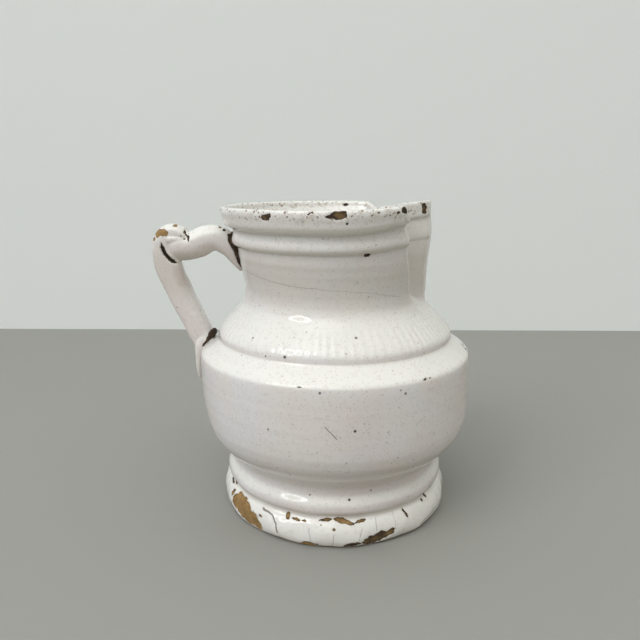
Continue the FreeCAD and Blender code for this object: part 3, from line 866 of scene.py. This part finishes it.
# %% Crazing group
inputs = [("Position", VECTOR, None), ("Cells", FLOAT, 90.0), ("Width", FLOAT, 0.012),
    ("Amount", FLOAT, 0.5)]
crazing, n, gi, go = new_group("crazing", inputs, [("Mask", FLOAT)])
wander = n.noise(gi["Position"], 60.0, 4.0)["Color"]
net = n.cells(n.vector("MULTIPLY_ADD", wander, (8 * MM,) * 3, gi["Position"]), gi["Cells"],
    "DISTANCE_TO_EDGE")
hair = n.ramp(net["Distance"], 0.0, gi["Width"], 1.0, 0.0)
gaps = n.noise(gi["Position"], 45.0, 3.0)["Fac"]
dirty = n.ramp(gaps, n.math("SUBTRACT", 0.86, n.times(gi["Amount"], 0.5)), 0.82)
n.plug(n.times(hair, dirty), go["Mask"])

# %% [markdown]
# ### Where the glaze has broken away
# The mesh stores how many millimetres each point lies inside a chip. Fine noise added to that
# number makes the edge ragged at a scale smaller than the mesh. The group gives the bare
# area, a thin stain that creeps under the glaze round it, and the bright broken edge.

# %% Broken glaze group
outputs = [("Bare", FLOAT), ("Stain", FLOAT), ("Edge", FLOAT), ("Dirt", FLOAT)]
broken, n, gi, go = new_group("broken_glaze", [("Position", VECTOR, None), ("Inside", FLOAT, -5.0)],
    outputs)
coarse = n.noise(gi["Position"], 520.0, 4.0, 0.6)["Fac"]
ragged = n.math("ADD", n.math("SUBTRACT", coarse, 0.5), gi["Inside"])
n.plug(n.ramp(ragged, -0.05, 0.08), go["Bare"])
n.plug(n.times(n.ramp(ragged, -1.0, 0.0), n.ramp(coarse, 0.3, 0.75)), go["Stain"])
n.plug(n.times(n.ramp(ragged, -0.30, -0.06), n.ramp(ragged, -0.02, 0.12, 1.0, 0.0)), go["Edge"])
streaks = n.math("MULTIPLY_ADD", n.noise(gi["Position"], 230.0, 3.0)["Fac"], 1.2, -0.6)
grime = n.math("MULTIPLY_ADD", n.ramp(ragged, 0.05, 0.75, 1.0, 0.0), 0.75, streaks)
n.plug(n.math("MAXIMUM", grime, 0.0, clamp=True), go["Dirt"])

# %% [markdown]
# ### Single cracks
# A crack that can be followed with the eye isn't part of the net, so each one is drawn. The wall
# is unrolled flat, as (distance round, height), and a group measures how far the point is from a
# straight piece of the crack. Noise makes it wander. A long crack is a chain of these.

# %% Unrolled wall and hairline groups
UNROLL = 0.070
inputs = [("Position", VECTOR, None), ("Wander", FLOAT, 0.0012)]
unrolled, n, gi, go = new_group("unrolled_wall", inputs, [("Place", VECTOR)])
spot = n.split(gi["Position"])
round_by = n.times(n.math("ARCTAN2", spot["X"], n.times(spot["Y"], -1.0)), UNROLL)
sway = n.noise(gi["Position"], 150.0, 4.0)["Color"]
swayed = n.vector("MULTIPLY_ADD", sway, n.join(gi["Wander"], gi["Wander"]), n.join(round_by, spot["Z"]))
n.plug(swayed, go["Place"])

inputs = [("Place", VECTOR, None), ("Start", VECTOR, None), ("End", VECTOR, None), ("Width", FLOAT, 0.0003)]
hairline, n, gi, go = new_group("hairline", inputs, [("Mask", FLOAT)])
along = n.vector("SUBTRACT", gi["End"], gi["Start"])
offset_to = n.vector("SUBTRACT", gi["Place"], gi["Start"])
reached = n.vector("DOT_PRODUCT", offset_to, along)
share_of = n.math("DIVIDE", reached, n.vector("DOT_PRODUCT", along, along), clamp=True)
nearest = n.vector("SCALE", along, scale=share_of)
gap_to = n.vector("LENGTH", n.vector("SUBTRACT", offset_to, nearest))
n.plug(n.ramp(gap_to, n.times(gi["Width"], 0.35), gi["Width"], 1.0, 0.0), go["Mask"])


def crack_mask(n, place_on_wall, routes):
    """Strongest mask of chains of (bearing, z) points, each chain with its width in mm and strength."""
    total = 0.0
    for width, strength, route in routes:
        flat_route = [(math.radians(b) * UNROLL, z * MM, 0.0) for b, z in route]
        for start_at, end_at in zip(flat_route, flat_route[1:]):
            piece = n.place(hairline, Place=place_on_wall, Start=start_at, End=end_at, Width=width * MM)
            total = n.math("MAXIMUM", total, n.times(piece["Mask"], strength))
    return total


# %% [markdown]
# ### The clay underneath
# Fresh breaks are a dusty ochre with paler grit, and old ones have soaked up two centuries of
# grease and soot and are nearly black. One group mixes between them by age.

# %% Clay group
OCHRE, DEEP_OCHRE, PALE_GRIT = (0.36, 0.225, 0.085, 1), (0.25, 0.145, 0.050, 1), (0.46, 0.33, 0.17, 1)
SOOT, SOOTY_CLAY = (0.012, 0.007, 0.004, 1), (0.060, 0.032, 0.014, 1)
inputs = [("Position", VECTOR, None), ("Age", FLOAT, 0.3)]
clay_tones, n, gi, go = new_group("clay_tones", inputs, [("Colour", COLOUR), ("Height", FLOAT)])
grit = n.noise(gi["Position"], 900.0, 5.0, 0.7)["Fac"]
patch = n.noise(gi["Position"], 160.0, 4.0, 0.6)["Fac"]
fresh = n.mix(n.ramp(grit, 0.58, 0.72), n.mix(n.ramp(patch, 0.3, 0.7), OCHRE, DEEP_OCHRE), PALE_GRIT)
sooty = n.mix(n.ramp(grit, 0.35, 0.75), SOOT, SOOTY_CLAY)
aged = n.math("ADD", gi["Age"], n.times(n.math("SUBTRACT", patch, 0.5), 0.8), clamp=True)
n.plug(n.mix(n.ramp(aged, 0.15, 0.8), fresh, sooty), go["Colour"])
n.plug(n.math("MULTIPLY_ADD", grit, 0.4, patch), go["Height"])

# %% [markdown]
# ### The body of the glaze
# Tin oxide makes the glaze white and opaque, but it never covers evenly. It runs off edges and
# steep walls, which come out pinker and thinner, and pools on ledges, which come out whiter.
# Grooves and faces that turn downwards get a darker tone, which is painted shade. The `bend`
# number stored on the mesh says where it bends, the normal says how steep the wall is, and
# drifts of noise do the rest. The foot band was dipped twice, so it is whiter. The rim band is
# whitened as a painted reflection, and the neck gets a grey tone as painted shade under the rim.

# %% Glaze body group
# The third colour on this line is painted shade for the neck.
PINK_DRIFT, THIN_EDGE, NECK_SHADE = (0.70, 0.61, 0.60, 1), (0.66, 0.56, 0.48, 1), (0.50, 0.455, 0.39, 1)
# GROOVE_SHADE and UNDERSIDE_SHADE are colours for painted shade.
GROOVE_SHADE, UNDERSIDE_SHADE, FLECK = (0.50, 0.44, 0.34, 1), (0.55, 0.49, 0.38, 1), (0.54, 0.49, 0.45, 1)
inputs = [("Position", VECTOR, None), ("Bend", FLOAT, 0.0)]
inputs += [(label, COLOUR, None) for label in ("Warm", "Cool", "Pooled")]
milky, n, gi, go = new_group("milky_glaze", inputs, [("Colour", COLOUR), ("Height", FLOAT)])
drift = n.noise(gi["Position"], 26.0, 5.0, 0.6)["Fac"]
cloud = n.noise(gi["Position"], 9.0, 2.0)["Fac"]
fleck = n.noise(gi["Position"], 330.0, 3.0, 0.7)["Fac"]
slope = n.split(n.node("NewGeometry").outputs["Normal"])["Z"]
level = n.split(gi["Position"])["Z"]
# Painted shade: a grey tone on the neck between 138 and 180 mm, standing in for the shade under the rim.
neck_painted_shade = n.times(n.ramp(level, 0.138, 0.156), n.ramp(level, 0.170, 0.180, 1.0, 0.0), 0.34)
tone = n.mix(n.ramp(drift, 0.34, 0.66), gi["Warm"], gi["Cool"])
thin_edge = n.times(n.ramp(gi["Bend"], 0.08, 0.7), n.ramp(drift, 0.3, 0.6), 0.30)
for share, layer in (
    (n.ramp(cloud, 0.40, 0.66, 0.0, 0.55), PINK_DRIFT), (thin_edge, THIN_EDGE),
    (n.ramp(slope, 0.12, 0.55, 0.0, 0.85), gi["Pooled"]), (n.ramp(level, 0.015, 0.022, 0.85, 0.0),
        gi["Pooled"]),
    # Painted shade on the neck, then a painted reflection: above 178 mm the rim band, groove and bead are
    # mixed towards the pooled white.
    (neck_painted_shade, NECK_SHADE), (n.ramp(level, 0.178, 0.190, 0.0, 0.55), gi["Pooled"]),
    # Painted shade: grooves, where the stored bend is below zero, are darkened.
    (n.ramp(gi["Bend"], -0.5, -0.04, 0.30, 0.0), GROOVE_SHADE),
    # Painted shade: faces that turn downwards are darkened.
    (n.ramp(slope, -0.6, -0.05, 0.35, 0.0), UNDERSIDE_SHADE), (n.ramp(fleck, 0.50, 0.72, 0.0, 0.26), FLECK),
):
    tone = n.mix(share, tone, layer)
n.plug(tone, go["Colour"])
peel = n.noise(gi["Position"], 260.0, 2.0)["Fac"]
swell = n.noise(gi["Position"], 70.0, 2.0)["Fac"]
n.plug(n.math("MULTIPLY_ADD", peel, 0.045, n.times(swell, 0.20)), go["Height"])

# %% [markdown]
# ## Tin glaze
# The finish is built up in the order it happened: the glaze body first, then pinholes and craters from
# the kiln, then crazing and cracks, then wear along the lip, and last the places where glaze
# is gone and clay shows. The vessel's two coats and the handle share it with their own colours.

# %% Layers of the tin glaze
DUST, PIT_BOTTOM, CRATER_BOTTOM = (0.34, 0.28, 0.25, 1), (0.08, 0.055, 0.04, 1), (0.055, 0.036, 0.028, 1)
IRON_DARK, IRON_PALE = (0.09, 0.06, 0.045, 1), (0.30, 0.23, 0.18, 1)
CRAZE_DIRT, CRACK_DIRT = (0.34, 0.28, 0.23, 1), (0.085, 0.058, 0.042, 1)
RUBBED_LIP, GRAZED_LIP = (0.34, 0.23, 0.13, 1), (0.16, 0.09, 0.05, 1)
CHIP_STAIN, CHIP_EDGE = (0.42, 0.29, 0.17, 1), (0.82, 0.79, 0.74, 1)


def new_material(name):
    """A material, a writer for its nodes, its shader and the place on the piece."""
    material = bpy.data.materials.new(name)
    material.use_nodes = True
    n = Nodes(material.node_tree)
    return material, n, n.tree.nodes["Principled BSDF"], n.node("TexCoord").outputs["Object"]


def raise_surface(n, shader, height, strength, distance):
    bump = n.node("Bump")
    n.fill(bump, ("Strength", "Distance", "Height"), (strength, distance * MM, height))
    n.plug(bump.outputs[0], shader.inputs["Normal"])


def speckled(n, where, level, colour, share):
    """Kiln dust, iron specks and pinholes over a colour, and the mask of the holes."""
    dust = n.place(pinholes, Position=where, Cells=600.0, Share=share * 13.0, Size=0.32)
    fine = n.place(pinholes, Position=where, Cells=300.0, Share=share * 2.4, Size=0.19)
    large = n.place(pinholes, Position=where, Cells=130.0, Share=share * 1.1, Size=0.085)
    above_foot = n.ramp(level, 0.017, 0.026, 0.25, 1.0)
    colour = n.mix(n.times(dust["Mask"], above_foot, 0.32), colour, DUST)
    colour = n.mix(n.times(fine["Mask"], above_foot, 0.65), colour,
        n.mix(fine["Tone"], IRON_DARK, IRON_PALE))
    colour = n.mix(n.times(large["Mask"], 0.85), colour, PIT_BOTTOM)
    return colour, n.math("MAXIMUM", fine["Mask"], large["Mask"])


def worn_lip(n, where, level, colour):
    at_lip = n.ramp(level, 0.1965, 0.2025)
    rub = n.ramp(n.noise(where, 240.0, 4.0, 0.7)["Fac"], 0.50, 0.64)
    patches = n.ramp(n.noise(where, 24.0, 2.0)["Fac"], 0.38, 0.55)
    colour = n.mix(n.times(rub, patches, at_lip, 0.5), colour, RUBBED_LIP)
    grazed = n.place(pinholes, Position=where, Cells=400.0, Share=0.95, Size=0.36)
    return n.mix(n.times(grazed["Mask"], at_lip, 0.85), colour, GRAZED_LIP)


def crater_mask(n, where, craters):
    holes = 0.0
    for middle, size, dark in craters:
        reach = n.vector("LENGTH", n.vector("SUBTRACT", where, middle))
        holes = n.math("MAXIMUM", holes, n.ramp(reach, size * 0.55 * MM, size * MM, dark, 0.0))
    return holes


# %% Tin glaze material


def glaze_material(name, tints, pin_share, craze_amount, roughness, craters=(), cracks=()):
    material, n, shader, where = new_material(name)
    bare, age, bend = (n.node("Attribute", attribute_name=key).outputs["Fac"] for key in ("bare", "age",
        "bend"))
    level = n.split(where)["Z"]
    body = n.place(milky, Position=where, Bend=bend, Warm=tints[0], Cool=tints[1], Pooled=tints[2])
    colour, pits = speckled(n, where, level, body["Colour"], pin_share)
    lines = n.place(crazing, Position=where, Cells=75.0, Width=0.014, Amount=craze_amount)
    colour = n.mix(n.times(lines["Mask"], 0.35), colour, CRAZE_DIRT)
    if cracks:
        on_flat = n.place(unrolled, Position=where, Wander=0.0022)["Place"]
        colour = n.mix(crack_mask(n, on_flat, cracks), colour, CRACK_DIRT)
    if craters:
        colour = worn_lip(n, where, level, colour)
        colour = n.mix(crater_mask(n, where, craters), colour, CRATER_BOTTOM)
    chip = n.place(broken, Position=where, Inside=bare)
    clay = n.place(clay_tones, Position=where, Age=n.math("MULTIPLY_ADD", chip["Dirt"], 0.45, age))
    colour = n.mix(n.times(chip["Stain"], 0.32), colour, CHIP_STAIN)
    colour = n.mix(n.times(chip["Edge"], 0.45), colour, CHIP_EDGE)
    n.plug(n.mix(chip["Bare"], colour, clay["Colour"]), shader.inputs["Base Color"])
    smear = n.ramp(n.noise(where, 120.0, 4.0)["Fac"], 0.35, 0.75, roughness, roughness + 0.07)
    rough = n.math("MAXIMUM", smear, n.times(pits, 0.6))
    n.plug(n.math("MAXIMUM", rough, n.times(chip["Bare"], 0.88)), shader.inputs["Roughness"])
    height = n.math("SUBTRACT", body["Height"], n.times(pits, 0.20))
    height = n.math("ADD", height, n.times(clay["Height"], chip["Bare"], 0.45))
    height = n.math("SUBTRACT", height, n.times(chip["Bare"], 0.35))
    raise_surface(n, shader, height, 0.5, 1.0)
    shader.inputs["Specular IOR Level"].default_value = 0.6
    return material


# %% Craters and cracks that can be counted
# A crater is (bearing, height, radius of the wall there, size in mm, darkness).
crater_list = [
    (-24.5, 81.4, 92.1, 0.8, 0.8), (7.3, 84.1, 92.1, 1.2, 0.95), (-5.0, 106.6, 91.9, 1.0, 0.8),
    (26.0, 103.5, 92.1, 1.1, 0.8), (24.0, 105.8, 92.0, 0.8, 0.6), (10.2, 132.5, 70.9, 1.1, 0.8),
    (-41.2, 128.5, 74.8, 1.0, 0.8), (-21.2, 122.0, 79.3, 1.2, 0.9), (-30.5, 120.8, 79.4, 0.9, 0.7),
    (7.3, 30.7, 73.8, 1.2, 0.95), (18.2, 35.1, 72.2, 1.1, 0.9), (-18.0, 51.0, 84.8, 0.9, 0.7),
    (25.5, 44.8, 78.8, 1.0, 0.8), (-11.8, 32.7, 72.5, 0.9, 0.8), (5.2, 198.1, 74.6, 1.1, 0.95),
    (32.8, 53.8, 87.2, 1.0, 0.7), (150.0, 84.0, 92.1, 1.1, 0.9), (205.0, 131.0, 72.4, 1.1, 0.8),
]
# A crack is (width in mm, darkness, [(bearing, height), ...]).
wall_cracks = [
    (0.36, 0.34, [(-61.3, 166.6), (-42.0, 164.0), (-25.2, 161.5), (-10.8, 160.7)]),
    (0.30, 0.24, [(-10.8, 160.7), (16.8, 158.2), (42.2, 153.2)]),
    (0.70, 0.80, [(-36.0, 18.2), (-29.5, 16.4), (-26.6, 12.6), (-25.6, 7.6)]),
    (0.45, 0.55, [(-41.5, 14.6), (-37.5, 12.0)]), (0.45, 0.60, [(-55.0, 18.4), (-49.0, 17.6)]),
    (0.35, 0.40, [(20.8, 18.4), (20.2, 12.0)]), (0.32, 0.30, [(30.5, 19.5), (29.4, 7.0)]),
    (0.34, 0.40, [(1.0, 11.8), (0.2, 4.0)]), (0.34, 0.42, [(13.5, 14.5), (12.2, 7.0)]),
    (0.34, 0.42, [(-10.5, 14.0), (-9.3, 6.0)]), (0.45, 0.55, [(45.0, 6.0), (66.0, 10.0)]),
    (0.40, 0.62, [(1.8, 80.4), (-2.4, 87.6)]), (0.30, 0.25, [(32.0, 84.0), (36.0, 88.0)]),
    (0.40, 0.45, [(119.0, 17.0), (121.0, 2.0)]), (0.35, 0.35, [(150.0, 176.0), (157.0, 152.0)]),
]


def on_wall(bearing, z, radius):
    """A place on the vessel: bearing round from the camera's side towards the spout."""
    a = math.radians(bearing)
    return radius * math.sin(a) * MM, -radius * math.cos(a) * MM, z * MM


craters = [(on_wall(bearing, z, radius), size, dark) for bearing, z, radius, size, dark in crater_list]
# The glaze's pooled white, also used for the painted reflection on the rim band.
pooled_and_sheen_white = (0.825, 0.820, 0.792, 1)
outside_tints = (0.750, 0.705, 0.675, 1), (0.740, 0.725, 0.735, 1), pooled_and_sheen_white
inside_tints = (0.82, 0.80, 0.75, 1), (0.80, 0.79, 0.76, 1), (0.84, 0.83, 0.79, 1)
handle_tints = (0.75, 0.715, 0.68, 1), (0.74, 0.72, 0.70, 1), pooled_and_sheen_white
outside_glaze = glaze_material("tin_glaze_outside", outside_tints, 0.085, 0.30, 0.045, craters, wall_cracks)
inside_glaze = glaze_material("tin_glaze_inside", inside_tints, 0.04, 0.25, 0.07)
handle_glaze = glaze_material("tin_glaze_handle", handle_tints, 0.035, 0.20, 0.06)
print("glazes", outside_glaze.name, inside_glaze.name, handle_glaze.name)

# %% [markdown]
# ## Bare clay and slip
# The foot and the corners of the joints use the clay group on its own. The foot is worn smooth and
# grey-brown where it touched tables, and the slip is darker and rougher.

# %% Bare clay materials


def clay_material(name, age, roughness, bump_height):
    material, n, shader, where = new_material(name)
    dirt = n.noise(where, 32.0, 5.0, 0.65)["Fac"]
    clay = n.place(clay_tones, Position=where, Age=n.ramp(dirt, 0.35, 0.72, age - 0.2, age + 0.35))
    n.plug(clay["Colour"], shader.inputs["Base Color"])
    n.plug(n.ramp(dirt, 0.3, 0.7, roughness - 0.12, roughness + 0.06), shader.inputs["Roughness"])
    raise_surface(n, shader, clay["Height"], 0.7, bump_height)
    return material


foot_clay = clay_material("worn_foot_clay", 0.30, 0.82, 0.35)
joint_clay = clay_material("joint_slip_clay", 0.80, 0.92, 0.6)
print("clays", foot_clay.name, joint_clay.name)

# %% [markdown]
# ## Hanging the pieces on the frame
# Each piece takes its finish, hides the CAD solids it stands for, and rides on the one rigid
# body of the pitcher.

# %% Pieces, finishes and CAD nodes
dressing = [
    (coat, outside_glaze, "tin_glaze", ["outside_glaze"]),
    (lining, inside_glaze, "tin_glaze", ["inside_glaze"]),
    (foot, foot_clay, "fired_clay", ["clay_body"]),
    (handle, handle_glaze, "tin_glaze", ["handle_coil", "handle_glaze"]),
    (lower_slip, joint_clay, "joint_slip", ["lower_joint_slip"]),
    (upper_slip, joint_clay, "joint_slip", ["upper_joint_slip"]),
]
for piece, finish, slot_name, nodes in dressing:
    piece.data.materials.clear()
    piece.data.materials.append(finish)
    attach(piece, "root")
    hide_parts(*nodes)
print("pieces", [piece.name for piece, *_ in dressing])

# %% [markdown]
# ## Floor, backdrop and light
# The pitcher stands on a plain pale floor in front of a plain pale wall. The light is that of a
# room with a bright ceiling: soft, mostly from above, a little cooler from the left and dimmer
# and warmer from the right. A world that changes with direction does most of this, because a big
# soft source is what gives glaze its broad quiet shading. One lamp in front adds the modelling, and
# a small bright ring in the world gives the crisp highlight on the shoulder.

# %% Floor and wall


def stage_panel(name, corners, colour):
    mesh = bpy.data.meshes.new(name)
    mesh.from_pydata(corners, [], [(0, 1, 2, 3)])
    panel = add_object(name, mesh)
    paint = bpy.data.materials.new(name + "_paint")
    paint.use_nodes = True
    paint.node_tree.nodes["Principled BSDF"].inputs["Base Color"].default_value = colour
    paint.node_tree.nodes["Principled BSDF"].inputs["Roughness"].default_value = 0.85
    mesh.materials.append(paint)
    return panel


WALL_Y, REACH, CEILING = 0.467, 3.0, 1.6
floor = stage_panel("floor", [(-REACH, -REACH, 0), (REACH, -REACH, 0), (REACH, WALL_Y, 0),
    (-REACH, WALL_Y, 0)], (0.305, 0.305, 0.288, 1))
wall = stage_panel("backdrop", [(-REACH, WALL_Y, 0), (REACH, WALL_Y, 0), (REACH, WALL_Y, CEILING),
    (-REACH, WALL_Y, CEILING)], (0.84, 0.87, 0.865, 1))
print("stage", floor.name, wall.name)

# %% World that changes with direction
world = bpy.data.worlds.new("pale_room")
world.use_nodes = True
n = Nodes(world.node_tree)
looking = n.node("TexCoord").outputs["Generated"]
towards = n.split(looking)
side = n.ramp(towards["X"], -0.9, 0.9)
walls_colour = n.mix(side, (0.53, 0.56, 0.62, 1), (0.25, 0.235, 0.13, 1))
sky = n.mix(n.ramp(towards["Z"], 0.08, 0.88), walls_colour, (1.13, 1.13, 1.10, 1))
RING_TOWARDS = (-0.566, -0.505, 0.650)
outermost, outer, inner, innermost = (math.cos(math.radians(a)) for a in (13.5, 12.6, 10.2, 9.4))
facing = n.vector("DOT_PRODUCT", looking, RING_TOWARDS)
bright_ring = n.times(n.ramp(facing, outermost, outer), n.ramp(facing, inner, innermost, 1.0, 0.12))
sky = n.mix(bright_ring, sky, (10.0, 10.0, 9.7, 1))
background = n.tree.nodes["Background"]
n.plug(sky, background.inputs["Color"])
background.inputs["Strength"].default_value = 1.0
bpy.context.scene.world = world

# %% Lamps


def soft_light(name, place_at, aim_at, width, height, power, colour):
    data = bpy.data.lights.new(name, "AREA")
    data.shape, data.size, data.size_y = "RECTANGLE", width, height
    data.energy, data.color = power, colour
    lamp = add_object(name, data)
    lamp.location = place_at
    lamp.rotation_mode = "QUATERNION"
    lamp.rotation_quaternion = (Vector(aim_at) - Vector(place_at)).to_track_quat("-Z", "Y")
    return lamp


soft_light("front_ceiling", (-0.35, -0.9, 1.35), (0, 0, 0.1), 0.9, 0.9, 3.6, (1.0, 1.0, 0.98))
bpy.context.scene.view_settings.view_transform = "Standard"
